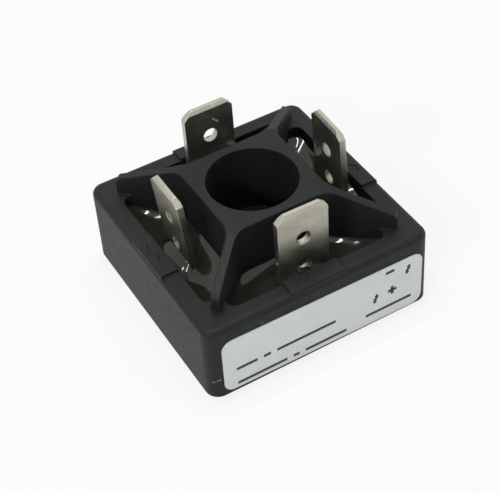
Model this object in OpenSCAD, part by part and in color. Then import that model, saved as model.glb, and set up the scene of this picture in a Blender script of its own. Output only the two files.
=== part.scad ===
// Single-phase bridge rectifier module for one centre screw, with four upright quick-connect tabs.
// Z points up from the heat-sink face. The plus tab stands at the front (-Y), where the label is,
// the minus tab at the back, and one AC tab on each side.

/* [Body] */
// Side of the square body at its foot
body_side = 28.8; // [24:0.1:36]
// Height of the rim above the heat-sink face
rim_height = 10.3; // [9.5:0.1:13]
// Width of the rim between the outer face and the windows
rim_width = 2.35; // [1.8:0.05:3]
// Radius of the upright outer corners
corner_round = 1.6; // [1:0.1:2.2]
// Radius along the top outer edge
edge_round = 0.75; // [0.3:0.05:1]
// Draft of the outer faces, in degrees
draft = 0.5; // [0:0.1:1]
// Gap left under the rim, so that the copper base alone meets the heat sink
foot_gap = 0.15; // [0.05:0.05:0.25]

/* [Marking lands] */
// Length of the raised land on each rim side
land_length = 6.9; // [4:0.1:10]
// Sideways shift of the lands, seen from each side: front, right, back, left
land_shift = [-0.25, -0.45, -0.35, 0.6]; // [-1:0.05:1]
// Height of the land above the rim
land_raise = 0.35; // [0.1:0.05:0.6]
// Distance from the outer face to the upright edge of the land
land_inset = 0.12; // [0.05:0.01:0.4]
// Radius along the outer edge of the land
land_round = 0.45; // [0.2:0.05:0.7]

/* [Collar and ribs] */
// Side of the square collar in the middle
collar_side = 12.8; // [12.2:0.1:15.4]
// Height of the collar above the heat-sink face
collar_height = 14.8; // [12.6:0.1:17]
// Diameter of the recess for the screw head
recess_d = 10.6; // [8:0.1:11.4]
// Height of the recess floor above the heat-sink face
recess_floor = 5.75; // [5:0.05:6.5]
// Thickness of the recess floor
floor_thickness = 1.45; // [1:0.05:1.8]
// Diameter of the clearance hole for an M5 screw
screw_hole_d = 5.3; // [4.4:0.1:6]
// Wall of the tube that carries the screw load down to the ceramic
tube_wall = 1.75; // [1.2:0.05:2]
// Thickness of the four diagonal ribs
rib_thickness = 1.0; // [0.8:0.05:1.6]
// Height of the outer end of a rib above the rim
rib_end_rise = 2.1; // [1:0.1:2.4]
// Distance from the inside corner of the rim back to the end of a rib
rib_setback = 0.65; // [0.3:0.05:1.2]
// Radius of the upper corner at the end of a rib
rib_end_round = 0.6; // [0.2:0.05:0.9]
// Radius of the concave fillet between a rib and the collar
rib_fillet = 3.5; // [1.5:0.1:4]
// Height of the undersides of the ribs and corner shelves
rib_root = 6.0; // [5:0.1:6.5]
// Side of the square shelf in each inside corner of the rim
shelf_side = 2.15; // [1.4:0.05:2.6]
// Radius of the outer corners of the windows
window_round = 1.0; // [0.5:0.1:1.3]

/* [Substrate] */
// Width of the skirt of the body around the substrate
skirt_width = 1.2; // [0.9:0.05:1.4]
// Gap between the skirt and the edge of the ceramic
ceramic_gap = 0.1; // [0.05:0.01:0.2]
// Thickness of the ceramic plate
ceramic_thickness = 0.63; // [0.38:0.01:1]
// Thickness of the copper on both faces of the ceramic
copper_thickness = 0.3; // [0.2:0.05:0.5]
// Bare ceramic left around the bottom copper
base_margin = 0.6; // [0.4:0.05:1]
// Diameter of the hole in the ceramic
ceramic_hole_d = 5.8; // [5.5:0.1:7]
// Bare ceramic left around that hole on the underside
base_hole_margin = 0.4; // [0.2:0.05:0.8]
// Distance from the inner wall of the body to the copper tracks
track_margin = 0.25; // [0.1:0.05:0.6]
// Gap between neighbouring copper tracks
track_gap = 0.7; // [0.5:0.05:1]
// Distance from the screw tube to the copper tracks
track_tube_gap = 1.4; // [1:0.05:1.6]
// Radius of the corners of the copper
track_round = 0.5; // [0.2:0.05:0.8]
// Thickness of the adhesive between the ceramic and the ledge of the body
adhesive_thickness = 0.12; // [0.05:0.01:0.2]

/* [Diodes and clips] */
// Side of a square diode chip
chip_side = 4.2; // [3:0.1:4.4]
// Thickness of a diode chip
chip_thickness = 0.3; // [0.2:0.05:0.4]
// Distance from the outer edge of the track to a chip
chip_margin = 0.7; // [0.4:0.05:0.9]
// Thickness of every solder layer
solder_thickness = 0.1; // [0.05:0.01:0.15]
// How far the solder stays inside the edges of a tab's foot
solder_inset = 0.2; // [0.1:0.05:0.5]
// Width of a connecting clip
clip_width = 2.2; // [1.6:0.1:2.4]
// Thickness of a connecting clip
clip_thickness = 0.35; // [0.2:0.05:0.4]
// Length of the pad of a clip on its chip
clip_pad = 2.2; // [1.6:0.1:2.4]
// Length of the foot of a clip on its track
clip_foot = 1.2; // [0.9:0.05:1.2]
// Height of the arch of a clip above its pad
clip_arch = 0.5; // [0.3:0.05:0.9]
// Distance from the inner edge of a track to the side of a clip
clip_margin = 0.8; // [0.4:0.05:0.9]
// Distance from the edge of a track to the foot of a clip
clip_inset = 0.2; // [0.1:0.05:0.3]

/* [Tabs] */
// Width of a quick-connect tab
tab_width = 6.3; // [4.8, 5.2, 6.3]
// Thickness of a quick-connect tab
tab_thickness = 0.8; // [0.5, 0.8]
// Height of the tab tips above the heat-sink face
tab_height = 18.4; // [16:0.1:22]
// Chamfer of the two corners at the tip
tip_chamfer = 1.0; // [0.5:0.1:1.4]
// Length of the bevels on both faces of the tip
bevel_length = 0.5; // [0.2:0.05:0.9]
// Depth of the bevels on both faces of the tip
bevel_depth = 0.2; // [0.05:0.05:0.22]
// Diameter of the two holes in a tab
tab_hole_d = 1.8; // [1.2:0.1:2]
// Distance from the tip to the centre of the detent hole
detent_drop = 4.2; // [3.2:0.1:4.5]
// Distance between the two holes
hole_pitch = 4.1; // [3:0.1:4.4]
// Inner radius of the bend above the foot of a tab
tab_bend = 0.8; // [0.5:0.1:1]
// Distance from the inner rim wall to the middle of a tab at its foot: front, right, back, left
tab_inset = [2.05, 1.35, 1.75, 3.0]; // [1.2:0.05:3.4]
// Outward lean of each tab in degrees: front, right, back, left
tab_lean = [1.5, -1.8, 0.6, 4.8]; // [-3:0.1:6]
// Turn of each tab about the upright in degrees: front, right, back, left
tab_turn = [-1, -2.5, 0.7, -0.5]; // [-3:0.1:3]
// Sideways skew of each blade in degrees: front, right, back, left
tab_skew = [-0.7, 1.7, 0, -2.4]; // [-3:0.1:3]
// Sideways shift of each foot: front, right, back, left
tab_shift = [0.18, -0.2, -0.2, 0]; // [-0.3:0.01:0.3]

/* [Potting and label] */
// Level of the potting compound in the middle of the windows
potting_level = 7.0; // [6.6:0.1:8.5]
// Length of the label
label_length = 25.95; // [18:0.05:26.2]
// Sideways shift of the label; its right end may bend around the corner of the body
label_shift = 0.18; // [-0.2:0.02:0.3]
// Height of the label
label_height = 7.7; // [5:0.1:8.2]
// Thickness of the label
label_thickness = 0.1; // [0.05:0.01:0.2]
// Radius of the corners of the label
label_round = 1.3; // [0.3:0.1:2]
// Height of the lower edge of the label above the heat-sink face, in its middle
label_foot = 0.5; // [0.4:0.05:1.2]
// Turn of the label on the face in degrees
label_turn = -0.6; // [-1:0.1:1]

/* [Hidden] */
$fn = 64;

FRONT = 0;
RIGHT = 1;
BACK = 2;
LEFT = 3;
cut = 1;                                     // how far a cutter runs past a face
label_seat = 0.003;                          // film of adhesive under the label
round_lap = 0.0005;                          // how far a flank ends inside the round above it

half = body_side / 2;
inner = half - rim_width;                    // inner wall of the body
recess_half = half - skirt_width;            // inside of the skirt
ceramic_half = recess_half - ceramic_gap;
collar_half = collar_side / 2;
tube_r = screw_hole_d / 2 + tube_wall;
floor_under = recess_floor - floor_thickness;

ceramic_bottom = copper_thickness;
ceramic_top = ceramic_bottom + ceramic_thickness;
track_top = ceramic_top + copper_thickness;
ledge = ceramic_top + adhesive_thickness;    // underside of the body above the ceramic
chip_bottom = track_top + solder_thickness;
chip_top = chip_bottom + chip_thickness;
clip_seat = chip_top + solder_thickness;
tab_seat = track_top + solder_thickness;

track_outer = inner - track_margin;
track_inner = tube_r + track_tube_gap;
chip_far = track_outer - chip_margin - chip_side / 2;   // chip centre across its track
chip_near = track_inner + clip_margin + clip_width / 2; // chip centre along its track
clip_landing = track_inner - track_gap - clip_inset;    // where the foot of a clip starts

rib_end = inner * sqrt(2) - rib_setback;     // along the diagonal
rib_slope_lead = 0.25;                       // how far inside the collar edge a rib top turns down
rib_slope_start = collar_half * sqrt(2) - rib_slope_lead;
rib_end_height = min(rim_height + rib_end_rise, collar_height - 1);
rib_slope = atan((collar_height - rib_end_height) / (rib_end - rib_slope_start));
roof_round = 2.5;                            // radius between the collar top and a rib top
rib_ease = roof_round * tan(rib_slope / 2);

// ---------- outlines ----------

// Whole microns, so that the straight stretches of a moulding meet its turned corners
function to_micron(v) = round(v * 1000) / 1000;

module rounded_square(side, r) {
    for (turn = [0, 90]) rotate(turn) square([side, side - 2 * r], center = true);
    for (x = [-1, 1], y = [-1, 1]) translate([x, y] * (side / 2 - r)) circle(r);
}

// Rectangle between two opposite corners, with rounded corners
module track(low, high) {
    r = track_round;
    translate(low + [r, 0]) square(high - low - [2 * r, 0]);
    translate(low + [0, r]) square(high - low - [0, 2 * r]);
    for (x = [low.x + r, high.x - r], y = [low.y + r, high.y - r]) translate([x, y]) circle(r);
}

// Upright section of the body from the middle out to a drafted face with a rounded top edge
module edge_section(reach, top, r) {
    centre = [reach - to_micron((top - r) * tan(draft) + r / cos(draft)), to_micron(top - r)];
    touch = centre + [to_micron(r * cos(draft) - round_lap), to_micron(r * sin(draft))];
    polygon([
        [0, foot_gap], [reach - to_micron(foot_gap * tan(draft)), foot_gap], touch, centre,
        [centre.x, top], [0, top]
    ]);
    translate(centre) circle(r);
}

// Window area with rounded outer corners: a cross, which leaves a shelf in each corner of the rim
module window_cross() {
    for (turn = [0, 90]) rotate(turn) window_bar();
}

module window_bar() {
    wide = 2 * (inner - shelf_side);
    square([wide, 2 * (inner - window_round)], center = true);
    square([wide - 2 * window_round, 2 * inner], center = true);
    for (x = [-1, 1], y = [-1, 1])
        translate([x * (wide / 2 - window_round), y * (inner - window_round)]) circle(window_round);
}

// Collar with its four ribs; the corners between them are filled to a concave arc
module collar_star() {
    square(collar_side, center = true);
    for (turn = [45:90:315]) rotate(turn) {
        translate([0, -rib_thickness / 2]) square([rib_end, rib_thickness]);
        for (side = [0, 1]) mirror([0, side]) rib_corner();
    }
}

// Fillet on one side of a rib: the tangent wedge, less its circle
module rib_corner() {
    meet = collar_half * sqrt(2) - rib_thickness / 2;
    run = rib_fillet * tan(22.5);
    corner = [meet, rib_thickness / 2];
    along_rib = corner + [run, 0];
    along_collar = corner + run * [-cos(45), sin(45)];
    centre = along_rib + [0, rib_fillet];
    difference() {
        polygon([corner - [1, 0], along_rib - [0, 0.1], along_rib, along_collar,
                 along_collar - 0.5 * [1, 1]]);
        translate(centre) circle(rib_fillet);
    }
}

// ---------- moulded body ----------

// Solid drafted block: four straight stretches and four turned corners share one section
module drafted_block(top, r) {
    span = body_side - 2 * corner_round;
    for (turn = [0:90:270]) rotate(turn) {
        translate([-span / 2, 0, 0]) rotate([90, 0, 90]) linear_extrude(span)
            edge_section(half, top, r);
        translate([span / 2, span / 2, 0]) rotate_extrude() edge_section(corner_round, top, r);
    }
}

module marking_lands() {
    for (i = [FRONT:LEFT]) rotate(90 * i + 180)
        translate([-land_shift[i] - land_length / 2, 0, 0])
            rotate([90, 0, 90]) linear_extrude(land_length)
            intersection() {
                edge_section(half - land_inset, rim_height + land_raise, land_round);
                translate([inner, rim_height - 2]) square([rim_width, 3]);
            }
}

// Side view of one rib out from the middle, with a sloping top and a rounded end corner
module rib_side_view() {
    r = rib_end_round;
    end_centre = [rib_end - r, rib_end_height + r * tan(rib_slope) - r / cos(rib_slope)];
    end_touch = end_centre + r * [sin(rib_slope), cos(rib_slope)];
    slope_touch = [rib_slope_start, collar_height] + rib_ease * [cos(rib_slope), -sin(rib_slope)];
    crown = [rib_slope_start - rib_ease, collar_height];
    difference() {
        polygon([
            [0, rib_root], [rib_end, rib_root], [rib_end, end_centre.y], end_centre, end_touch,
            [rib_slope_start, collar_height], [0, collar_height]
        ]);
        difference() {
            polygon([crown, [crown.x, collar_height + cut],
                     [slope_touch.x, collar_height + cut], slope_touch]);
            translate(crown - [0, roof_round]) circle(roof_round);
        }
    }
    translate(end_centre) circle(r);
}

// Cuts the ribs down from the height of the collar to their sloping tops
module rib_roof_cutter() {
    start = rib_slope_start - rib_ease;
    for (turn = [45:90:315]) rotate(turn) rotate([90, 0, 0])
        linear_extrude(3 * rib_thickness, center = true) difference() {
            translate([start, rib_end_height - rib_end_round])
                square([rib_end + cut - start, collar_height]);
            rib_side_view();
        }
}

module collar_and_ribs() {
    difference() {
        translate([0, 0, rib_root]) linear_extrude(collar_height - rib_root) collar_star();
        rib_roof_cutter();
    }
    translate([0, 0, floor_under]) linear_extrude(rib_root - floor_under)
        square(collar_side, center = true);
    translate([0, 0, ceramic_top]) cylinder(r = tube_r, h = floor_under - ceramic_top);
}

module housing() {
    color([0.19, 0.2, 0.21]) difference() {
        union() {
            difference() {
                union() {
                    drafted_block(rim_height, edge_round);
                    marking_lands();
                }
                translate([0, 0, rib_root]) linear_extrude(rim_height) window_cross();
                translate([0, 0, ledge - cut]) linear_extrude(rib_root - ledge + cut)
                    rounded_square(2 * inner, window_round);
                translate([0, 0, -cut]) linear_extrude(ledge + cut)
                    square(2 * recess_half, center = true);
            }
            collar_and_ribs();
        }
        translate([0, 0, recess_floor]) cylinder(d = recess_d, h = collar_height);
        translate([0, 0, -cut]) cylinder(d = screw_hole_d, h = recess_floor + 2 * cut);
    }
}

// ---------- ceramic substrate with copper on both faces ----------

module plate(side, r, bottom, thickness, hole_d) {
    translate([0, 0, bottom]) linear_extrude(thickness) difference() {
        rounded_square(side, r);
        circle(d = hole_d);
    }
}

module ceramic_substrate() {
    color([0.92, 0.92, 0.88])
        plate(2 * ceramic_half, track_round, ceramic_bottom, ceramic_thickness, ceramic_hole_d);
}

module base_copper() {
    color([0.78, 0.5, 0.36])
        plate(2 * (ceramic_half - base_margin), track_round, 0, copper_thickness,
              ceramic_hole_d + 2 * base_hole_margin);
}

// Silicone between the ledge of the body and the edge of the ceramic
module adhesive_bead() {
    color([0.75, 0.74, 0.7]) translate([0, 0, ceramic_top]) linear_extrude(adhesive_thickness)
        difference() {
            rounded_square(2 * ceramic_half, track_round);
            rounded_square(2 * inner, window_round);
        }
}

module copper(low, high) {
    color([0.78, 0.5, 0.36]) translate([0, 0, ceramic_top]) linear_extrude(copper_thickness)
        track(low, high);
}

module track_plus() {
    copper([-track_outer, -track_outer], [track_outer, -track_inner]);
}

module track_minus() {
    reach = track_inner - track_gap;
    copper([-reach, track_inner], [reach, track_outer]);
}

module track_ac_left() {
    mirror([1, 0, 0]) track_ac_right();
}

module track_ac_right() {
    copper([track_inner, track_gap - track_inner], [track_outer, track_outer]);
}

// ---------- diodes, clips and solder ----------

// Puts what is drawn at a chip, running towards +X, at each of the two chips on one side
module at_plus_chip(side) {
    translate([side * chip_near, -chip_far, 0]) rotate(90) children();
}

module at_minus_chip(side) {
    translate([side * chip_far, chip_near, 0]) rotate(side > 0 ? 180 : 0) children();
}

module chip() {
    color([0.35, 0.36, 0.4]) translate([0, 0, chip_bottom + chip_thickness / 2])
        cube([chip_side, chip_side, chip_thickness], center = true);
}

module diode_plus_left() { at_plus_chip(-1) chip(); }
module diode_plus_right() { at_plus_chip(1) chip(); }
module diode_minus_left() { at_minus_chip(-1) chip(); }
module diode_minus_right() { at_minus_chip(1) chip(); }

// Strip of even thickness along a line of points, round at every bend
module strip(points, thickness) {
    for (i = [1:len(points) - 1]) {
        step = points[i] - points[i - 1];
        translate(points[i - 1]) rotate(atan2(step.y, step.x))
            translate([0, -thickness / 2]) square([norm(step), thickness]);
    }
    for (i = [1:len(points) - 2]) translate(points[i]) circle(thickness / 2);
}

// Pressed copper clip: pad on the chip, arch over its edge, foot on the next track
module clip() {
    pad_z = clip_seat + clip_thickness / 2;
    foot_z = track_top + solder_thickness + clip_thickness / 2;
    arch_z = pad_z + clip_arch;
    foot_start = chip_far - clip_landing;
    pad_end = clip_pad / 2;
    color([0.8, 0.53, 0.4]) rotate([90, 0, 0]) linear_extrude(clip_width, center = true)
        strip([
            [-pad_end, pad_z], [pad_end, pad_z], [pad_end + clip_arch, arch_z],
            [foot_start - clip_arch, arch_z], [foot_start + clip_thickness / 2, foot_z],
            [foot_start + clip_foot, foot_z]
        ], clip_thickness);
}

module clip_plus_left() { at_plus_chip(-1) clip(); }
module clip_plus_right() { at_plus_chip(1) clip(); }
module clip_minus_left() { at_minus_chip(-1) clip(); }
module clip_minus_right() { at_minus_chip(1) clip(); }

module at_every_chip() {
    for (side = [-1, 1]) {
        at_plus_chip(side) children();
        at_minus_chip(side) children();
    }
}

module solder_layer(low, high, bottom) {
    translate([low.x, low.y, bottom]) cube([high.x - low.x, high.y - low.y, solder_thickness]);
}

module chip_solder() {
    edge = chip_side / 2;
    color([0.72, 0.73, 0.75]) at_every_chip() solder_layer([-edge, -edge], [edge, edge], track_top);
}

module clip_solder() {
    foot_start = chip_far - clip_landing + clip_thickness / 2;
    color([0.72, 0.73, 0.75]) at_every_chip() {
        solder_layer([-clip_pad, -clip_width] / 2, [clip_pad, clip_width] / 2, chip_top);
        solder_layer([foot_start, -clip_width / 2], [foot_start + clip_foot - clip_thickness / 2,
                     clip_width / 2], track_top);
    }
}

// ---------- quick-connect tabs ----------

// Stands what is drawn with its blade plane at Y = 0, outwards -Y, at one side of the body
module at_side(i) {
    rotate(90 * i) translate([tab_shift[i], tab_inset[i] - inner, 0]) rotate(tab_turn[i]) children();
}

// Where the flat foot starts and ends, measured inwards from the blade plane
foot_near = tab_thickness / 2 + tab_bend;
function foot_far(i) = inner - tab_inset[i] - track_inner - clip_inset;

// Bent sheet: its side section, cut to the outline of the flat blank
module tab(i) {
    lean = tab_lean[i];
    bend_z = tab_seat + tab_thickness + tab_bend;
    blade_start = bend_z - (tab_bend + tab_thickness / 2) * sin(lean);
    reach = (tab_height - blade_start) / cos(lean);
    foot = foot_far(i) - foot_near;
    color([0.74, 0.73, 0.68]) at_side(i) translate([0, foot_near, bend_z]) intersection() {
        rotate([90, 0, 90]) linear_extrude(2 * tab_width, center = true)
            tab_section(foot, lean, reach);
        rotate([90 + lean, 0, 0]) translate([0, 0, -foot - cut])
            linear_extrude(foot + cut + tab_bend + 2 * tab_thickness) tab_outline(reach, tab_skew[i]);
    }
}

// Side section about the centre of the bend: foot, quarter bend, and blade with a bevelled tip
module tab_section(foot, lean, reach) {
    outer = tab_bend + tab_thickness;
    translate([0, -outer]) square([foot, tab_thickness]);
    intersection() {
        difference() {
            circle(outer);
            circle(tab_bend);
        }
        polygon([[0, 0], [0, -2 * outer], [-2 * outer, -2 * outer],
                 2 * outer * [-cos(lean), -sin(lean)]]);
    }
    rotate(lean) translate([-outer, 0]) polygon([
        [0, 0], [tab_thickness, 0], [tab_thickness, reach - bevel_length],
        [tab_thickness - bevel_depth, reach], [bevel_depth, reach], [0, reach - bevel_length]
    ]);
}

// Blank seen square on, with the bend line at Y = 0
module tab_outline(reach, skew) {
    w = tab_width / 2;
    c = tip_chamfer;
    below = -tab_bend - 2 * tab_thickness;
    function skewed(p) = [p.x * cos(skew) + p.y * sin(skew), p.y * cos(skew) - p.x * sin(skew)];
    difference() {
        polygon([
            [-w, below], [w, below], [w, 0], skewed([w, reach - c]), skewed([w - c, reach + 0.01]),
            skewed([c - w, reach + 0.01]), skewed([-w, reach - c]), [-w, 0]
        ]);
        for (down = [detent_drop, detent_drop + hole_pitch])
            translate(skewed([0, reach - down])) circle(d = tab_hole_d);
    }
}

module tab_plus() { tab(FRONT); }
module tab_ac_right() { tab(RIGHT); }
module tab_minus() { tab(BACK); }
module tab_ac_left() { tab(LEFT); }

module tab_solder() {
    edge = tab_width / 2 - solder_inset;
    color([0.72, 0.73, 0.75]) for (i = [FRONT:LEFT]) at_side(i)
        solder_layer([-edge, foot_near + solder_inset], [edge, foot_far(i) - solder_inset], track_top);
}

// ---------- potting compound and label ----------

// Everything that the compound flows around
module embedded() {
    track_plus();
    track_minus();
    track_ac_left();
    track_ac_right();
    at_every_chip() {
        chip();
        clip();
    }
    chip_solder();
    clip_solder();
    tab_solder();
    for (i = [FRONT:LEFT]) tab(i);
}

module potting_compound() {
    color([0.24, 0.22, 0.16]) difference() {
        union() {
            translate([0, 0, ceramic_top]) linear_extrude(rib_root - ceramic_top)
                rounded_square(2 * inner, window_round);
            translate([0, 0, ceramic_top]) linear_extrude(potting_level - ceramic_top)
                window_cross();
        }
        translate([0, 0, rib_root]) linear_extrude(collar_height) collar_star();
        translate([0, 0, floor_under]) linear_extrude(collar_height)
            square(collar_side, center = true);
        translate([0, 0, -cut]) cylinder(r = tube_r, h = floor_under + 2 * cut);
        embedded();
    }
}

// Plan of the film: flat along the face, then bent around the upright corner at its right end
module label_strip() {
    straight = half - corner_round;
    r = corner_round + label_seat;
    translate([-half, -label_seat - label_thickness])
        square([half + straight, label_thickness]);
    translate([straight, corner_round]) intersection() {
        difference() {
            circle(r + label_thickness);
            circle(r);
        }
        translate([0, -half]) square([half, half]);
    }
}

module label() {
    size = [label_length, label_height];
    color([0.85, 0.86, 0.85]) translate([0, -half, 0]) rotate([-draft, 0, 0]) intersection() {
        linear_extrude(rim_height) label_strip();
        translate([label_shift, corner_round, label_foot + label_height / 2]) rotate([90, 0, 0])
            linear_extrude(2 * corner_round) rotate(label_turn) {
                square(size - [2 * label_round, 0], center = true);
                square(size - [0, 2 * label_round], center = true);
                for (x = [-1, 1], y = [-1, 1])
                    translate([x * (size.x / 2 - label_round), y * (size.y / 2 - label_round)])
                        circle(label_round);
            }
    }
}

housing();
ceramic_substrate();
base_copper();
adhesive_bead();
track_plus();
track_minus();
track_ac_left();
track_ac_right();
diode_plus_left();
diode_plus_right();
diode_minus_left();
diode_minus_right();
clip_plus_left();
clip_plus_right();
clip_minus_left();
clip_minus_right();
chip_solder();
clip_solder();
tab_solder();
tab_plus();
tab_ac_right();
tab_minus();
tab_ac_left();
potting_compound();
label();
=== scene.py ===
"""Looks of a potted bridge rectifier module: moulded housing, tinned tabs, casting compound,
film label and the parts sealed inside, on a plain pale stage."""

import math

import bpy
import numpy as np
from bpy.props import FloatProperty, FloatVectorProperty, IntProperty, PointerProperty
from bpy.types import Operator, Panel, PropertyGroup
from mathutils import Matrix, Vector


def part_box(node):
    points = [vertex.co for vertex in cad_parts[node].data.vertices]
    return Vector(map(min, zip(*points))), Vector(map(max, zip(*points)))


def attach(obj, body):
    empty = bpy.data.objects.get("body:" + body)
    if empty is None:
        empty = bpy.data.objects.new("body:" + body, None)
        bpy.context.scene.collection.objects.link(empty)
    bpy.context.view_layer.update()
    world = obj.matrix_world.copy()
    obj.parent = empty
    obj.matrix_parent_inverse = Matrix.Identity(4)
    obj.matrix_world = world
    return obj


bl_info = {
    "name": "Potted Bridge Rectifier",
    "version": (1, 0, 0),
    "blender": (4, 5, 0),
    "location": "3D View > Sidebar > Rectifier",
    "description": "Finishes the packed rectifier module and sets its stage",
    "category": "Object",
}

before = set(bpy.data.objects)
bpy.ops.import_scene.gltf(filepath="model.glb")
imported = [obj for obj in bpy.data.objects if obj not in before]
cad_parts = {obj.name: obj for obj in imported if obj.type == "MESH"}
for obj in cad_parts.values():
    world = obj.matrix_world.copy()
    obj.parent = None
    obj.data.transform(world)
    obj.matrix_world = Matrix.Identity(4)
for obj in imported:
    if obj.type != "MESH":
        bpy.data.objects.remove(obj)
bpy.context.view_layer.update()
MM = 0.001
MIDDLE = (0, 0, 8 * MM)

LAND_TOP = 10.65 * MM        # top of the four raised lands of the rim
LAND_MIDDLE = 1.15 * MM      # from the outside of the housing to the middle of the rim
MARK_SINK = 0.04 * MM        # depth of the middle of a moulded stroke in its land
MARK_ARM = 1.3 * MM          # length of the bars of the moulded plus and minus
MARK_SHIFT = 0.6 * MM        # from the middle of the land to the moulded plus or minus
TILDE_SHIFTS = (-0.15 * MM, -0.25 * MM)     # the same for the left and the right tilde
RIGHT_TILDE = 0.8            # size of the right tilde, against the left one
SIDE_DRAFT = 0.5             # lean of the sides of the housing, in degrees

LIQUID_DEPTH = 0.05 * MM     # the compound's outline is cut this far under its level
LEAST_RISE = 0.02 * MM       # the climbing surface starts this far over the level
UNDERSIDE_DEPTH = 0.15 * MM  # and its underside lies this far under that level
WALL_CELLS = 3               # cells that the surface runs into its walls
EXTRA_CELLS = 9              # cells that the rise is carried on for, while it is smoothed
BORDER_CELLS = 12            # cells around the compound's box
CLIMB_IN_WALLS = 0.75        # slope inside a wall, against the slope at it
SMOOTHING = 70               # rounds of smoothing of the rise
OUTLINE_SOFTENING = 6        # rounds that find which way a stepped wall runs
OVERSHOOT = 1.85             # of each step of settling, so that it settles sooner

PRINT_WIDE, PRINT_TALL, PRINT_SWING = 1.15 * MM, 1.2 * MM, 0.14 * MM
PRINT_MINUS = (8.76 * MM, 7.2 * MM)         # along the label from its middle, and up
PRINT_PLUS = (9.09 * MM, 4.2 * MM)
PRINT_TILDES = ((11.2 * MM, 6.33 * MM), (6.86 * MM, 4.0 * MM))
WORD_BARS = (                # rows of plain bars, in mm: left end, height, length of each bar
    (-11.2, 3.55, (2.6, 0.9, 7.6)),
    (-11.2, 1.3, (6.3, 0.8, 5.4)),
    (5.5, 1.9, (6.2,)),
)

TUBE_SIZE, SIDE_SIZE = (0.16, 0.012), (0.1, 0.03)
TUBE_PLACES = ((-0.005, 0.02, 0.32), (-0.005, 0.08, 0.32))
SIDE_PLACE = (-0.26, -0.16, 0.22)
FLOOR_HALF = 0.7
FLOOR_DROP = 0.02 * MM       # keeps the floor clear of the underside

TABS = ("tab_plus", "tab_ac_right", "tab_minus", "tab_ac_left")
NEAR_TABS = ("tab_plus", "tab_ac_left")
COPPER = ("base_copper", "track_plus", "track_minus", "track_ac_left", "track_ac_right",
          "clip_plus_left", "clip_plus_right", "clip_minus_left", "clip_minus_right")
DIODES = ("diode_plus_left", "diode_plus_right", "diode_minus_left", "diode_minus_right")
SOLDER = ("chip_solder", "clip_solder", "tab_solder")


# ---------- settings ----------

def colour(name, description, default):
    return FloatVectorProperty(name=name, description=description, default=default,
                               subtype="COLOR", min=0, max=1)


def length(name, description, millimetres):
    return FloatProperty(name=name, description=description, default=millimetres * MM,
                         subtype="DISTANCE", unit="LENGTH", min=0)


def angle(name, description, degrees):
    return FloatProperty(name=name, description=description, default=math.radians(degrees),
                         subtype="ANGLE", unit="ROTATION")


def factor(name, description, default):
    return FloatProperty(name=name, description=description, default=default,
                         subtype="FACTOR", min=0, max=1)


def power(name, description, watts):
    return FloatProperty(name=name, description=description, default=watts, unit="POWER", min=0)


class StageSettings(PropertyGroup):
    azimuth: angle("Azimuth", "Turn of the camera about the upright, from the front", -27.24)
    elevation: angle("Elevation", "Height of the camera above the floor, as an angle", 44.3)
    roll: angle("Roll", "Tilt of the camera about its own line of sight", -4.61)
    distance: length("Distance", "From the camera to the point it looks at", 148.27)
    aim: FloatVectorProperty(name="Aim", description="Point that the camera looks at", size=3,
                             default=(-2.55 * MM, -3.06 * MM, 8 * MM), subtype="TRANSLATION",
                             unit="LENGTH", precision=5)
    lens: FloatProperty(name="Lens", description="Focal length", default=94.3, unit="CAMERA")
    floor_colour: colour("Floor", "Colour of the floor", (0.86, 0.86, 0.86))
    floor_glow: factor("Floor glow", "How far the floor shows plain white to the eye", 0.8)
    sky: FloatProperty(name="Sky", description="Strength of the light from all around",
                       default=0.5, min=0)
    overhead: power("Overhead", "Power of each of the two tubes above", 0.2)
    side: power("Side", "Power of the soft light at the front left", 0.35)


class HousingSettings(PropertyGroup):
    plastic: colour("Plastic", "Colour of the moulded plastic", (0.0118, 0.0133, 0.0136))
    flecks: colour("Flecks", "Colour of the glass flecks in the plastic", (0.16, 0.17, 0.17))
    roughness: factor("Roughness", "Roughness of the plastic", 0.5)
    softness: length("Edge softness", "Radius that the small edges seem to have", 0.22)
    mark_width: length("Mark width", "Width of the strokes of the moulded marks", 0.36)
    mark_length: length("Mark length", "Length of the moulded tildes", 2.6)
    mark_swing: length("Mark swing", "Half the width of the moulded tildes", 0.4)


class TabSettings(PropertyGroup):
    bright: colour("Bright tin", "Colour of the tin coat", (0.49, 0.476, 0.405))
    dull: colour("Dull tin", "Colour of the tin coat in its dull patches", (0.42, 0.407, 0.335))
    roughness: factor("Roughness", "Roughness of the tin coat", 0.34)


class CompoundSettings(PropertyGroup):
    compound: colour("Compound", "Colour of the casting compound", (0.018, 0.0172, 0.012))
    roughness: factor("Roughness", "Roughness of the casting compound", 0.05)
    slope: FloatProperty(name="Wall slope", description="Slope of the surface at the housing",
                         default=0.62, min=0, max=2)
    near_slope: FloatProperty(name="Near tab slope", default=1.15, min=0, max=3,
                              description="Slope of the surface at the front and left tabs")
    far_slope: FloatProperty(name="Far tab slope", default=0.35, min=0, max=3,
                             description="Slope of the surface at the right and back tabs")
    reach: length("Reach", "Distance over which the surface falls back to its level", 1.5)
    cell: length("Cell", "Spacing of the points of the surface", 0.1)
    rounds: IntProperty(name="Rounds", description="Rounds of settling of the surface",
                        default=1200, min=1)


class LabelSettings(PropertyGroup):
    film: colour("Film", "Colour of the label film", (0.68, 0.72, 0.705))
    ink: colour("Ink", "Colour of the printed marks", (0.018, 0.02, 0.022))
    stroke: length("Stroke", "Width of the strokes of the printed marks", 0.42)
    ink_height: length("Ink height", "Thickness of the print", 0.008)
    word_gap: length("Word gap", "Gap between the plain bars that stand for words", 0.8)
    ink_stand: length("Ink stand", "From the box of the label to the middle of the print", 0.0055)


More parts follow.
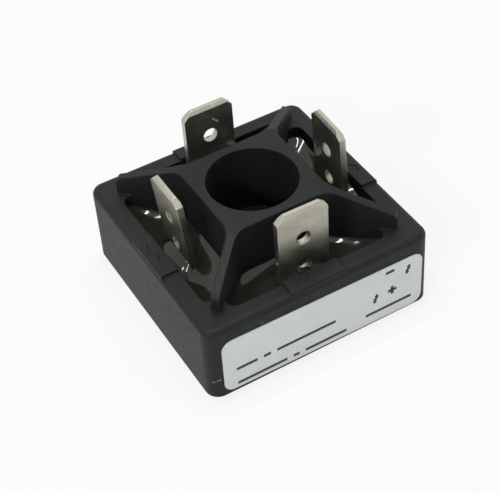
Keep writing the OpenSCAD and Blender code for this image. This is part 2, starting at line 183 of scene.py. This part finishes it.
class InnerSettings(PropertyGroup):
    copper: colour("Copper", "Colour of the bare copper", (0.72, 0.42, 0.29))
    ceramic: colour("Ceramic", "Colour of the ceramic plate", (0.84, 0.84, 0.8))
    silicone: colour("Silicone", "Colour of the adhesive", (0.7, 0.7, 0.68))
    silicon: colour("Silicon", "Colour of the dies", (0.2, 0.21, 0.24))
    solder: colour("Solder", "Colour of the solder", (0.62, 0.63, 0.64))


class RectifierSettings(PropertyGroup):
    stage: PointerProperty(type=StageSettings, name="Stage")
    housing: PointerProperty(type=HousingSettings, name="Housing")
    tabs: PointerProperty(type=TabSettings, name="Tabs")
    compound: PointerProperty(type=CompoundSettings, name="Compound")
    label: PointerProperty(type=LabelSettings, name="Label")
    inner: PointerProperty(type=InnerSettings, name="Inner parts")


# ---------- materials ----------

class Recipe:
    """A material under construction: adds nodes, sets and links their sockets."""

    def __init__(self, name):
        self.material = bpy.data.materials.new(name)
        self.material.use_nodes = True
        self.tree = self.material.node_tree
        self.tree.nodes.clear()
        self.coordinates = self.add("ShaderNodeTexCoord").outputs["Object"]

    def add(self, kind, inputs=None, **settings):
        node = self.tree.nodes.new(kind)
        for key, value in settings.items():
            setattr(node, key, value)
        for key, value in (inputs or {}).items():
            socket = node.inputs[key]
            if isinstance(value, bpy.types.NodeSocket):
                self.tree.links.new(value, socket)
            elif hasattr(value, "__len__") and len(value) == 3 and socket.type == "RGBA":
                socket.default_value = (*value, 1)
            else:
                socket.default_value = value
        return node

    def math(self, operation, a, b, clamp=False):
        return self.add("ShaderNodeMath", {0: a, 1: b}, operation=operation,
                        use_clamp=clamp).outputs[0]

    def noise(self, scale, detail, roughness=0.5, stretch=None):
        """Smooth noise between 0 and 1; its scale is in waves a metre."""
        source = self.coordinates
        if stretch:
            source = self.add("ShaderNodeMapping", {"Vector": source, "Scale": stretch}).outputs[0]
        return self.add("ShaderNodeTexNoise", {"Vector": source, "Scale": scale, "Detail": detail,
                                               "Roughness": roughness}).outputs[0]

    def ramp(self, value, low, high, to_low=0.0, to_high=1.0):
        return self.add("ShaderNodeMapRange", {"Value": value, "From Min": low, "From Max": high,
                                               "To Min": to_low, "To Max": to_high}).outputs[0]

    def mix(self, amount, a, b):
        node = self.add("ShaderNodeMix", data_type="RGBA")
        for socket, value in ((node.inputs[0], amount), (node.inputs[6], a), (node.inputs[7], b)):
            if isinstance(value, bpy.types.NodeSocket):
                self.tree.links.new(value, socket)
            else:
                socket.default_value = value if socket.type == "VALUE" else (*value, 1)
        return node.outputs[2]

    def bump(self, height, distance, strength, normal=None):
        inputs = {"Height": height, "Distance": distance, "Strength": strength}
        if normal is not None:
            inputs["Normal"] = normal
        return self.add("ShaderNodeBump", inputs).outputs[0]

    def streak(self, start, end, width):
        """1 along a line between two points, 0 away from it."""
        a, run = Vector(start) * MM, (Vector(end) - Vector(start)) * MM
        from_start = self.add("ShaderNodeVectorMath", {0: self.coordinates, 1: a},
                              operation="SUBTRACT").outputs[0]
        along = self.add("ShaderNodeVectorMath", {0: from_start, 1: run},
                         operation="DOT_PRODUCT").outputs["Value"]
        share = self.math("DIVIDE", along, run.length_squared, clamp=True)
        nearest = self.add("ShaderNodeVectorMath", {0: run, "Scale": share},
                           operation="SCALE").outputs[0]
        off = self.add("ShaderNodeVectorMath", {0: from_start, 1: nearest},
                       operation="DISTANCE").outputs["Value"]
        return self.ramp(off, width * MM / 4, width * MM / 2, 1, 0)

    def streaks(self, lines):
        """All of a surface's scuffs: lines of start, end, width and strength."""
        total = 0.0
        for start, end, width, strength in lines:
            total = self.math("ADD", total,
                              self.math("MULTIPLY", self.streak(start, end, width), strength))
        return self.math("MULTIPLY", total, self.ramp(self.noise(4000, 2), 0.35, 0.55, 0.4, 1))

    def soft_edges(self, radius):
        return self.add("ShaderNodeBevel", {"Radius": radius}, samples=6).outputs[0]

    def finish(self, **inputs):
        sockets = {key.replace("_", " "): value for key, value in inputs.items()}
        shader = self.add("ShaderNodeBsdfPrincipled", sockets)
        self.add("ShaderNodeOutputMaterial", {"Surface": shader.outputs[0]})
        return self.material


# Scuffs and scratches: start and end in mm, width in mm, strength.
PLASTIC_SCUFFS = (
    ((-13.97, -13.85, 2.52), (-13.76, -14.04, 2.65), 0.26, 0.5),
    ((-13.5, -14.2, 2.79), (-13.2, -14.31, 2.9), 0.24, 1.0),
    ((-7.77, -14.32, 8.71), (-7.53, -14.32, 8.7), 0.2, 0.35),
)
TIN_SCRATCHES = (
    ((-0.79, 10.04, 17.54), (0.2, 10.05, 16.87), 0.16, 0.25),
    ((0.67, 10.05, 16.39), (1.27, 10.05, 15.81), 0.24, 1.0),
    ((9.97, 2.38, 17.11), (9.95, 1.86, 17.04), 0.18, 0.6),
)


def plastic_material(settings):
    """Glass-filled plastic: fine grain, faint clouding and a few pale flecks."""
    recipe = Recipe("moulded_plastic")
    cloud = recipe.noise(260, 3)
    grain = recipe.noise(3800, 3, 0.6)
    cells = recipe.add("ShaderNodeTexVoronoi", {"Vector": recipe.coordinates, "Scale": 2300})
    rare = recipe.math("GREATER_THAN", recipe.add(
        "ShaderNodeSeparateColor", {0: cells.outputs["Color"]}).outputs[0], 0.972)
    fleck = recipe.math("MULTIPLY", rare, recipe.ramp(cells.outputs["Distance"], 0.14, 0.26, 1, 0))
    tone = recipe.mix(recipe.ramp(cloud, 0.3, 0.7), [c * 0.86 for c in settings.plastic],
                      [c * 1.16 for c in settings.plastic])
    tone = recipe.mix(recipe.math("MULTIPLY", fleck, 0.12), tone, tuple(settings.flecks))
    tone = recipe.mix(recipe.streaks(PLASTIC_SCUFFS), tone, (0.3, 0.31, 0.3))
    soft = recipe.soft_edges(settings.softness)
    ripple = recipe.bump(recipe.noise(700, 2), 0.00006, 0.5, soft)
    return recipe.finish(
        Base_Color=tone, Normal=recipe.bump(grain, 0.00003, 0.6, ripple), Specular_IOR_Level=0.2,
        Roughness=recipe.ramp(grain, 0.3, 0.7, settings.roughness - 0.06,
                              settings.roughness + 0.08))


def tin_material(settings):
    """Tin-plated sheet: rolling lines up the blade, dull blotches, pits and long scratches."""
    recipe = Recipe("tinned_brass")
    lines = recipe.noise(2400, 2, stretch=(1, 1, 0.07))
    blotches = recipe.noise(380, 4, 0.65)
    mottle = recipe.noise(3000, 3, 0.7)
    pits = recipe.noise(5200, 2, 0.7)
    scratch = recipe.add("ShaderNodeTexVoronoi", {
        "Vector": recipe.add("ShaderNodeMapping", {
            "Vector": recipe.coordinates, "Scale": (1, 1, 0.22),
            "Rotation": (0.5, 0.6, 0)}).outputs[0], "Scale": 520},
        feature="DISTANCE_TO_EDGE").outputs[0]
    worn = recipe.math("MULTIPLY", recipe.ramp(scratch, 0.008, 0.02, 1, 0),
                       recipe.ramp(recipe.noise(170, 2), 0.56, 0.62))
    tone = recipe.mix(recipe.ramp(blotches, 0.35, 0.68), tuple(settings.bright),
                      tuple(settings.dull))
    tone = recipe.mix(recipe.ramp(lines, 0.45, 0.75, 0, 0.3), tone, tuple(settings.dull))
    tone = recipe.mix(recipe.ramp(mottle, 0.5, 0.72, 0, 0.28), tone,
                      [c * 0.6 for c in settings.dull])
    scored = recipe.streaks(TIN_SCRATCHES)
    tone = recipe.mix(recipe.math("MULTIPLY", worn, 0.3), tone, (0.82, 0.8, 0.72))
    tone = recipe.mix(scored, tone, (0.9, 0.88, 0.8))
    height = recipe.math("ADD", lines, recipe.math("MULTIPLY", pits, 0.8))
    soft = recipe.soft_edges(0.12 * MM)
    return recipe.finish(
        Base_Color=tone, Metallic=recipe.ramp(scored, 0, 1, 1, 0.4),
        Normal=recipe.bump(height, 0.000014, 0.7, soft),
        Roughness=recipe.ramp(blotches, 0.3, 0.75, settings.roughness - 0.06,
                              settings.roughness + 0.1))


def compound_material(settings):
    """Glossy casting compound with a faint swirl in its colour."""
    recipe = Recipe("casting_compound")
    swirl = recipe.noise(300, 3)
    tone = recipe.mix(recipe.ramp(swirl, 0.35, 0.7), tuple(settings.compound),
                      [c * 1.5 for c in settings.compound])
    return recipe.finish(
        Base_Color=tone, Normal=recipe.bump(recipe.noise(380, 1), 0.00001, 0.2),
        Specular_IOR_Level=0.45,
        Roughness=recipe.ramp(recipe.noise(900, 3), 0.35, 0.75, settings.roughness,
                              settings.roughness + 0.06))


def film_material(settings):
    """Label film: fine fibre and a faint haze."""
    recipe = Recipe("label_film")
    fibre = recipe.noise(5000, 3, 0.6)
    haze = recipe.noise(350, 2)
    tone = recipe.mix(recipe.ramp(haze, 0.3, 0.7), [c * 0.96 for c in settings.film],
                      [c * 1.03 for c in settings.film])
    return recipe.finish(
        Base_Color=tone, Normal=recipe.bump(fibre, 0.000008, 0.5, recipe.soft_edges(0.05 * MM)),
        Roughness=recipe.ramp(fibre, 0.3, 0.7, 0.38, 0.52))


def ink_material(settings):
    """Print that is a little uneven."""
    recipe = Recipe("printed_ink")
    tone = recipe.mix(recipe.ramp(recipe.noise(4200, 2), 0.35, 0.7), tuple(settings.ink),
                      [c * 1.7 for c in settings.ink])
    return recipe.finish(Base_Color=tone, Roughness=0.55)


def plain_material(name, base, roughness, metallic, scale, contrast=0.85):
    """A hidden part's finish: its colour, clouded, with a fine bump."""
    recipe = Recipe(name)
    cloud = recipe.noise(scale, 4, 0.6)
    tone = recipe.mix(recipe.ramp(cloud, 0.3, 0.7), [c * contrast for c in base], tuple(base))
    return recipe.finish(
        Base_Color=tone, Metallic=metallic,
        Normal=recipe.bump(recipe.noise(scale * 9, 2), 0.00001, 0.5),
        Roughness=recipe.ramp(cloud, 0.3, 0.7, roughness - 0.05, roughness + 0.08))


def assign(nodes, material):
    """Gives CAD nodes a material, and leaves their meshes as they are."""
    for name in nodes:
        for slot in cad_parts[name].material_slots:
            slot.link = "OBJECT"
            slot.material = material


# ---------- geometry ----------

def mesh_object(name, vertices, edges=(), faces=()):
    """A new object at the origin, made of plain lists of points, edges and faces."""
    mesh = bpy.data.meshes.new(name)
    mesh.from_pydata([tuple(v) for v in vertices], [tuple(e) for e in edges],
                     [tuple(f) for f in faces])
    mesh.update()
    piece = bpy.data.objects.new(name, mesh)
    bpy.context.scene.collection.objects.link(piece)
    return piece


def evaluated_mesh(piece):
    """The plain mesh that a piece has after its modifiers; the modifiers are removed."""
    bpy.context.view_layer.update()
    graph = bpy.context.evaluated_depsgraph_get()
    mesh = bpy.data.meshes.new_from_object(piece.evaluated_get(graph), depsgraph=graph)
    mesh.name = piece.name
    piece.modifiers.clear()
    piece.data = mesh
    return mesh


def stroke_tree(round_profile):
    """Geometry Nodes that sweep a profile along every stroke of a drawing."""
    tree = bpy.data.node_groups.new("round_strokes" if round_profile else "flat_strokes",
                                    "GeometryNodeTree")
    face = tree.interface
    face.new_socket("Drawing", in_out="INPUT", socket_type="NodeSocketGeometry")
    for name in ("Stroke Width", "Stroke Height"):
        face.new_socket(name, in_out="INPUT", socket_type="NodeSocketFloat").subtype = "DISTANCE"
    face.new_socket("Finish", in_out="INPUT", socket_type="NodeSocketMaterial")
    face.new_socket("Strokes", in_out="OUTPUT", socket_type="NodeSocketGeometry")
    new, link = tree.nodes.new, tree.links.new
    given, path = new("NodeGroupInput"), new("GeometryNodeMeshToCurve")
    upright, sweep = new("GeometryNodeSetCurveNormal"), new("GeometryNodeCurveToMesh")
    upright.mode = "Z_UP"
    sweep.inputs["Fill Caps"].default_value = True
    link(given.outputs["Drawing"], path.inputs["Mesh"])
    link(path.outputs[0], upright.inputs["Curve"])
    link(upright.outputs[0], sweep.inputs["Curve"])
    if round_profile:
        profile, half = new("GeometryNodeCurvePrimitiveCircle"), new("ShaderNodeMath")
        half.operation = "MULTIPLY"
        half.inputs[1].default_value = 0.5
        profile.inputs["Resolution"].default_value = 12
        link(given.outputs["Stroke Width"], half.inputs[0])
        link(half.outputs[0], profile.inputs["Radius"])
    else:
        profile = new("GeometryNodeCurvePrimitiveQuadrilateral")
        link(given.outputs["Stroke Width"], profile.inputs["Width"])
        link(given.outputs["Stroke Height"], profile.inputs["Height"])
    link(profile.outputs[0], sweep.inputs["Profile Curve"])
    finish, real, out = (new("GeometryNodeSetMaterial"), new("GeometryNodeRealizeInstances"),
                         new("NodeGroupOutput"))
    link(sweep.outputs[0], real.inputs[0])
    link(real.outputs[0], finish.inputs["Geometry"])
    link(given.outputs["Finish"], finish.inputs["Material"])
    link(finish.outputs[0], out.inputs[0])
    return tree


def swept_strokes(name, strokes, width, height, material, round_profile):
    """Sweeps strokes, each a list of points, into one mesh piece."""
    points = [point for stroke in strokes for point in stroke]
    edges, start = [], 0
    for stroke in strokes:
        edges += [(start + i, start + i + 1) for i in range(len(stroke) - 1)]
        start += len(stroke)
    piece = mesh_object(name, [(x, y, 0) for x, y in points], edges)
    modifier = piece.modifiers.new("strokes", "NODES")
    modifier.node_group = stroke_tree(round_profile)
    values = {"Stroke Width": width, "Stroke Height": height, "Finish": material}
    for item in modifier.node_group.interface.items_tree:
        if item.name in values and item.in_out == "INPUT":
            modifier[item.identifier] = values[item.name]
    evaluated_mesh(piece)
    return piece


def tilde(centre, size, swing):
    """One wave of a sine that runs along Y, as points."""
    steps = 16
    points = []
    for i in range(steps + 1):
        along = (i / steps - 0.5) * size
        across = swing * math.sin(2 * math.pi * i / steps)
        points.append((centre[0] + across, centre[1] + along))
    return points


def bar(centre, size, upright=False):
    """A straight stroke, as its two ends; upright turns it to run along Y."""
    half = size / 2
    dx, dy = (0, half) if upright else (half, 0)
    return [(centre[0] - dx, centre[1] - dy), (centre[0] + dx, centre[1] + dy)]


def section_mask(node, height, xs, ys):
    """True at the grid points that lie inside a node where a level plane cuts it."""
    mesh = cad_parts[node].data
    points = np.empty(len(mesh.vertices) * 3)
    mesh.vertices.foreach_get("co", points)
    points = points.reshape(-1, 3)
    mesh.calc_loop_triangles()
    corners = np.empty(len(mesh.loop_triangles) * 3, dtype=np.int64)
    mesh.loop_triangles.foreach_get("vertices", corners)
    triangles = points[corners.reshape(-1, 3)]
    above = triangles[:, :, 2] > height
    cut = triangles[(above.any(1)) & (~above.all(1))]
    ends = []
    for a, b in ((0, 1), (1, 2), (2, 0)):
        p, q = cut[:, a], cut[:, b]
        crosses = (p[:, 2] > height) != (q[:, 2] > height)
        part = np.where(crosses, (height - p[:, 2]) / np.where(crosses, q[:, 2] - p[:, 2], 1), 0)
        ends.append((crosses, p + part[:, None] * (q - p)))
    segments = []
    for i in range(len(cut)):
        segments.append([point[i, :2] for crosses, point in ends if crosses[i]])
    segments = np.array(segments)
    mask = np.zeros((len(ys), len(xs)), dtype=bool)
    for row, y in enumerate(ys):
        low = np.minimum(segments[:, 0, 1], segments[:, 1, 1])
        high = np.maximum(segments[:, 0, 1], segments[:, 1, 1])
        hit = segments[(low <= y) & (high > y)]
        span = hit[:, 1, 1] - hit[:, 0, 1]
        across = hit[:, 1, 0] - hit[:, 0, 0]
        crossings = np.sort(hit[:, 0, 0] + (y - hit[:, 0, 1]) / span * across)
        mask[row] = np.searchsorted(crossings, xs) % 2 == 1
    return mask


def shifted(field, rows, columns):
    """The field moved by whole cells, with nothing let in at the borders."""
    out = np.zeros_like(field)
    height, width = field.shape
    out[max(rows, 0):height + min(rows, 0), max(columns, 0):width + min(columns, 0)] = \
        field[max(-rows, 0):height + min(-rows, 0), max(-columns, 0):width + min(-columns, 0)]
    return out


NEIGHBOURS = ((0, 1), (0, -1), (1, 0), (-1, 0))


def settled_surface(liquid, slope, cell, reach, rounds):
    """Rise of a liquid that wets its walls: it falls off over the reach, and leaves each wall
    cell at the slope given there. The walls are the cells that are not liquid."""
    soft = liquid.astype(float)
    for _ in range(OUTLINE_SOFTENING):
        soft = sum(shifted(soft, *step) for step in NEIGHBOURS) / 8 + soft / 2
    grad_y, grad_x = np.gradient(soft)
    size = np.hypot(grad_x, grad_y) + 1e-9
    evenness = 1 / np.maximum((np.abs(grad_x) + np.abs(grad_y)) / size, 1)
    free = [shifted(liquid.astype(float), *step) for step in NEIGHBOURS]
    climb = sum(shifted(np.where(liquid, 0, slope), *step) for step in NEIGHBOURS)
    source = climb * evenness * cell
    weight = sum(free) + (cell / reach) ** 2
    rise = np.zeros_like(soft)
    rows, columns = np.indices(liquid.shape)
    for turn in range(rounds):
        half = liquid & ((rows + columns) % 2 == turn % 2)
        total = sum(shifted(np.where(liquid, rise, 0), *step) for step in NEIGHBOURS) + source
        rise = np.where(half, rise + OVERSHOOT * (total / weight - rise), rise)
    return rise


def smoothed(rise, known, rounds):
    """Evens out the steps that the square cells leave along slanted walls."""
    for _ in range(rounds):
        count = sum(shifted(known.astype(float), *step) for step in NEIGHBOURS)
        total = sum(shifted(np.where(known, rise, 0), *step) for step in NEIGHBOURS)
        rise = np.where(known, (rise + total) / (1 + count), rise)
    return rise


def spread_into_walls(rise, known, cells, step):
    """Carries the rise a few cells into the walls, still climbing."""
    for _ in range(cells):
        count = sum(shifted(known.astype(float), *side) for side in NEIGHBOURS)
        total = sum(shifted(np.where(known, rise, 0), *side) for side in NEIGHBOURS)
        fresh = ~known & (count > 0)
        rise = np.where(fresh, total / np.maximum(count, 1) + step, rise)
        known = known | fresh
    return rise, known


def closed_sheet(name, xs, ys, top, known, bottom):
    """A closed piece between a field of heights and a level underside."""
    index = -np.ones(known.shape, dtype=np.int64)
    whole = known[:-1, :-1] & known[1:, :-1] & known[:-1, 1:] & known[1:, 1:]
    used = np.zeros_like(known)
    for r, c in ((0, 0), (1, 0), (0, 1), (1, 1)):
        used[r:r + whole.shape[0], c:c + whole.shape[1]] |= whole
    index[used] = np.arange(used.sum())
    rows, columns = np.nonzero(used)
    upper = np.column_stack([xs[columns], ys[rows], top[rows, columns]])
    lower = np.column_stack([xs[columns], ys[rows], np.full(len(rows), bottom)])
    r, c = np.nonzero(whole)
    quads = np.column_stack([index[r, c], index[r, c + 1], index[r + 1, c + 1], index[r + 1, c]])
    count = len(upper)
    faces = [tuple(q) for q in quads] + [tuple(q[::-1] + count) for q in quads]
    sides = np.concatenate([quads[:, [i, (i + 1) % 4]] for i in range(4)])
    seen = {tuple(side) for side in sides}
    faces += [(b, a, a + count, b + count) for a, b in seen if (b, a) not in seen]
    return mesh_object(name, np.concatenate([upper, lower]), faces=faces)


def shade(piece, degrees):
    """Shades a piece smooth, but for edges sharper than the angle."""
    piece.data.polygons.foreach_set("use_smooth", [True] * len(piece.data.polygons))
    piece.data.set_sharp_from_angle(angle=math.radians(degrees))


def set_material(piece, material):
    piece.data.materials.clear()
    piece.data.materials.append(material)


# ---------- operators ----------

class RECTIFIER_OT_housing(Operator):
    """Finish the plastic of the housing and raise its moulded polarity marks"""
    bl_idname = "rectifier.housing"
    bl_label = "Housing"

    def execute(self, context):
        settings = context.scene.rectifier.housing
        material = plastic_material(settings)
        assign(["housing"], material)
        high = Vector(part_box("housing")[1])
        rim = high.x - LAND_MIDDLE
        size, swing = settings.mark_length, settings.mark_swing
        strokes = [
            tilde((-rim, TILDE_SHIFTS[0]), size, swing),
            tilde((rim, TILDE_SHIFTS[1]), size * RIGHT_TILDE, swing * RIGHT_TILDE),
            bar((-MARK_SHIFT, -rim), MARK_ARM),
            bar((-MARK_SHIFT, -rim), MARK_ARM, upright=True),
            bar((MARK_SHIFT, rim), MARK_ARM),
        ]
        piece = swept_strokes("moulded_marks", strokes, settings.mark_width, settings.mark_width,
                              material, True)
        piece.data.transform(Matrix.Translation((0, 0, LAND_TOP - MARK_SINK)))
        shade(piece, 60)
        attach(piece, "root")
        return {"FINISHED"}


class RECTIFIER_OT_tabs(Operator):
    """Give the four quick-connect tabs their tin coat"""
    bl_idname = "rectifier.tabs"
    bl_label = "Tabs"

    def execute(self, context):
        assign(TABS, tin_material(context.scene.rectifier.tabs))
        return {"FINISHED"}


class RECTIFIER_OT_compound(Operator):
    """Finish the casting compound and lay its climbing surface over its level one"""
    bl_idname = "rectifier.compound"
    bl_label = "Casting compound"

    def execute(self, context):
        settings = context.scene.rectifier.compound
        material = compound_material(settings)
        assign(["potting_compound"], material)
        low, high = (Vector(corner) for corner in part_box("potting_compound"))
        level = high.z
        cell = settings.cell
        half = math.ceil((high.x - low.x) / 2 / cell) + BORDER_CELLS
        xs = np.arange(-half, half + 1) * cell
        liquid = section_mask("potting_compound", level - LIQUID_DEPTH, xs, xs)
        slope = np.full(liquid.shape, settings.slope)
        if not liquid.any():
            raise RuntimeError("no casting compound was found at its own level")
        for tab in TABS:
            steepness = settings.near_slope if tab in NEAR_TABS else settings.far_slope
            slope[section_mask(tab, level, xs, xs)] = steepness
        rise = settled_surface(liquid, slope, cell, settings.reach, settings.rounds)
        rise, inside = spread_into_walls(rise, liquid, EXTRA_CELLS,
                                         CLIMB_IN_WALLS * settings.slope * cell)
        rise = smoothed(rise, inside, SMOOTHING)
        _, known = spread_into_walls(rise, liquid, WALL_CELLS, 0)
        top = level + LEAST_RISE + rise
        piece = closed_sheet("compound_surface", xs, xs, top, known, level - UNDERSIDE_DEPTH)
        shade(piece, 50)
        set_material(piece, material)
        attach(piece, "root")
        return {"FINISHED"}


class RECTIFIER_OT_label(Operator):
    """Finish the label and print its plain polarity marks"""
    bl_idname = "rectifier.label"
    bl_label = "Label"

    def execute(self, context):
        settings = context.scene.rectifier.label
        assign(["label"], film_material(settings))
        strokes = [
            bar(PRINT_MINUS, PRINT_WIDE),
            *(tilde(place, PRINT_TALL, -PRINT_SWING) for place in PRINT_TILDES),
            bar(PRINT_PLUS, PRINT_WIDE),
            bar(PRINT_PLUS, PRINT_TALL, upright=True),
        ]
        for left, level, sizes in WORD_BARS:
            for size in sizes:
                strokes.append(bar(((left + size / 2) * MM, level * MM), size * MM))
                left += size + settings.word_gap / MM
        piece = swept_strokes("label_marks", strokes, settings.stroke, settings.ink_height,
                              ink_material(settings), False)
        face = Vector(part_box("label")[0]).y - settings.ink_stand
        lean = Matrix.Rotation(-math.radians(SIDE_DRAFT), 4, "X")
        stand = Matrix.Translation((0, face, 0)) @ lean
        piece.data.transform(stand @ Matrix.Rotation(math.radians(90), 4, "X"))
        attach(piece, "root")
        return {"FINISHED"}


class RECTIFIER_OT_inner(Operator):
    """Finish the substrate, the dies, the clips, the solder and the adhesive"""
    bl_idname = "rectifier.inner"
    bl_label = "Inner parts"

    def execute(self, context):
        settings = context.scene.rectifier.inner
        assign(COPPER, plain_material("copper", settings.copper, 0.32, 1.0, 500))
        assign(["ceramic_substrate"],
               plain_material("ceramic", settings.ceramic, 0.6, 0.0, 900, 0.94))
        assign(["adhesive_bead"],
               plain_material("silicone", settings.silicone, 0.45, 0.0, 700, 0.9))
        assign(DIODES, plain_material("silicon_die", settings.silicon, 0.25, 0.4, 800))
        assign(SOLDER, plain_material("solder", settings.solder, 0.35, 1.0, 1200, 0.8))
        return {"FINISHED"}


class RECTIFIER_OT_stage(Operator):
    """Set the camera, the soft lights and the pale floor"""
    bl_idname = "rectifier.stage"
    bl_label = "Stage"

    def execute(self, context):
        settings = context.scene.rectifier.stage
        scene = context.scene
        scene.view_settings.view_transform = "Standard"
        self.place_camera(scene, settings)
        self.light(scene, settings)
        self.lay_floor(settings)
        return {"FINISHED"}

    @staticmethod
    def place_camera(scene, settings):
        flat = math.cos(settings.elevation)
        back = Vector((math.sin(settings.azimuth) * flat, -math.cos(settings.azimuth) * flat,
                       math.sin(settings.elevation)))
        camera = bpy.data.objects.new("camera", bpy.data.cameras.new("camera"))
        scene.collection.objects.link(camera)
        turn = back.to_track_quat("Z", "Y").to_matrix().to_4x4()
        roll = Matrix.Rotation(settings.roll, 4, "Z")
        place = Vector(settings.aim) + back * settings.distance
        camera.matrix_world = Matrix.Translation(place) @ turn @ roll
        camera.data.lens = settings.lens
        camera.data.clip_start = 0.01
        scene.camera = camera

    @staticmethod
    def light(scene, settings):
        middle = Vector(MIDDLE)
        lamps = (
            ("tube_near", settings.overhead, TUBE_PLACES[0], TUBE_SIZE),
            ("tube_far", settings.overhead, TUBE_PLACES[1], TUBE_SIZE),
            ("side", settings.side, SIDE_PLACE, SIDE_SIZE),
        )
        for name, watts, place, size in lamps:
            data = bpy.data.lights.new(name, "AREA")
            data.shape, data.energy = "RECTANGLE", watts
            data.size, data.size_y = size
            lamp = bpy.data.objects.new(name, data)
            scene.collection.objects.link(lamp)
            turn = (Vector(place) - middle).to_track_quat("Z", "Y").to_matrix().to_4x4()
            lamp.matrix_world = Matrix.Translation(place) @ turn
        world = bpy.data.worlds.new("soft_sky")
        scene.world = world
        world.use_nodes = True
        nodes, links = world.node_tree.nodes, world.node_tree.links
        nodes.clear()
        path, seen = nodes.new("ShaderNodeLightPath"), nodes.new("ShaderNodeMix")
        sky, out = nodes.new("ShaderNodeBackground"), nodes.new("ShaderNodeOutputWorld")
        seen.data_type = "FLOAT"
        seen.inputs[2].default_value = settings.sky
        seen.inputs[3].default_value = 1.0
        rays = [path.outputs[kind] for kind in ("Is Camera Ray", "Is Glossy Ray",
                                                "Is Transmission Ray")]
        for ray in rays[1:]:
            either = nodes.new("ShaderNodeMath")
            either.operation = "MAXIMUM"
            links.new(rays[0], either.inputs[0])
            links.new(ray, either.inputs[1])
            rays[0] = either.outputs[0]
        links.new(rays[0], seen.inputs[0])
        links.new(seen.outputs[0], sky.inputs["Strength"])
        sky.inputs["Color"].default_value = (1, 1, 1, 1)
        links.new(sky.outputs[0], out.inputs["Surface"])

    @staticmethod
    def lay_floor(settings):
        half, level = FLOOR_HALF, -FLOOR_DROP
        floor = mesh_object("floor", [(-half, -half, level), (half, -half, level),
                                      (half, half, level), (-half, half, level)],
                            faces=[(0, 1, 2, 3)])
        recipe = Recipe("pale_floor")
        cloud = recipe.noise(30, 2)
        tone = recipe.mix(recipe.ramp(cloud, 0.3, 0.7), [c * 0.99 for c in settings.floor_colour],
                          tuple(settings.floor_colour))
        matt = recipe.add("ShaderNodeBsdfDiffuse", {"Color": tone})
        glow = recipe.add("ShaderNodeEmission", {"Color": (1, 1, 1), "Strength": 1.0})
        path = recipe.add("ShaderNodeLightPath")
        seen = recipe.math("MAXIMUM", path.outputs["Is Camera Ray"],
                           recipe.math("MAXIMUM", path.outputs["Is Glossy Ray"],
                                       path.outputs["Is Transmission Ray"]))
        share = recipe.math("MULTIPLY", seen, settings.floor_glow)
        shown = recipe.add("ShaderNodeMixShader", {0: share, 1: matt.outputs[0],
                                                   2: glow.outputs[0]})
        recipe.add("ShaderNodeOutputMaterial", {"Surface": shown.outputs[0]})
        set_material(floor, recipe.material)


class RECTIFIER_PT_panel(Panel):
    """Sizes, colours and steps of the rectifier"""
    bl_idname = "RECTIFIER_PT_panel"
    bl_label = "Rectifier"
    bl_space_type = "VIEW_3D"
    bl_region_type = "UI"
    bl_category = "Rectifier"

    def draw(self, context):
        settings = context.scene.rectifier
        for step, group in STEPS:
            box = self.layout.box()
            box.operator(step.bl_idname)
            values = getattr(settings, group)
            for name in values.__class__.__annotations__:
                box.prop(values, name)


STEPS = (
    (RECTIFIER_OT_stage, "stage"),
    (RECTIFIER_OT_housing, "housing"),
    (RECTIFIER_OT_tabs, "tabs"),
    (RECTIFIER_OT_compound, "compound"),
    (RECTIFIER_OT_label, "label"),
    (RECTIFIER_OT_inner, "inner"),
)
CLASSES = (
    StageSettings, HousingSettings, TabSettings, CompoundSettings, LabelSettings, InnerSettings,
    RectifierSettings, *(step for step, _ in STEPS), RECTIFIER_PT_panel,
)


def register():
    for item in CLASSES:
        bpy.utils.register_class(item)
    bpy.types.Scene.rectifier = PointerProperty(type=RectifierSettings, name="Rectifier")


def unregister():
    del bpy.types.Scene.rectifier
    for item in reversed(CLASSES):
        bpy.utils.unregister_class(item)


def main():
    register()
    for step, _ in STEPS:
        group, name = step.bl_idname.split(".")
        getattr(getattr(bpy.ops, group), name)()


if __name__ == "__main__":
    main()
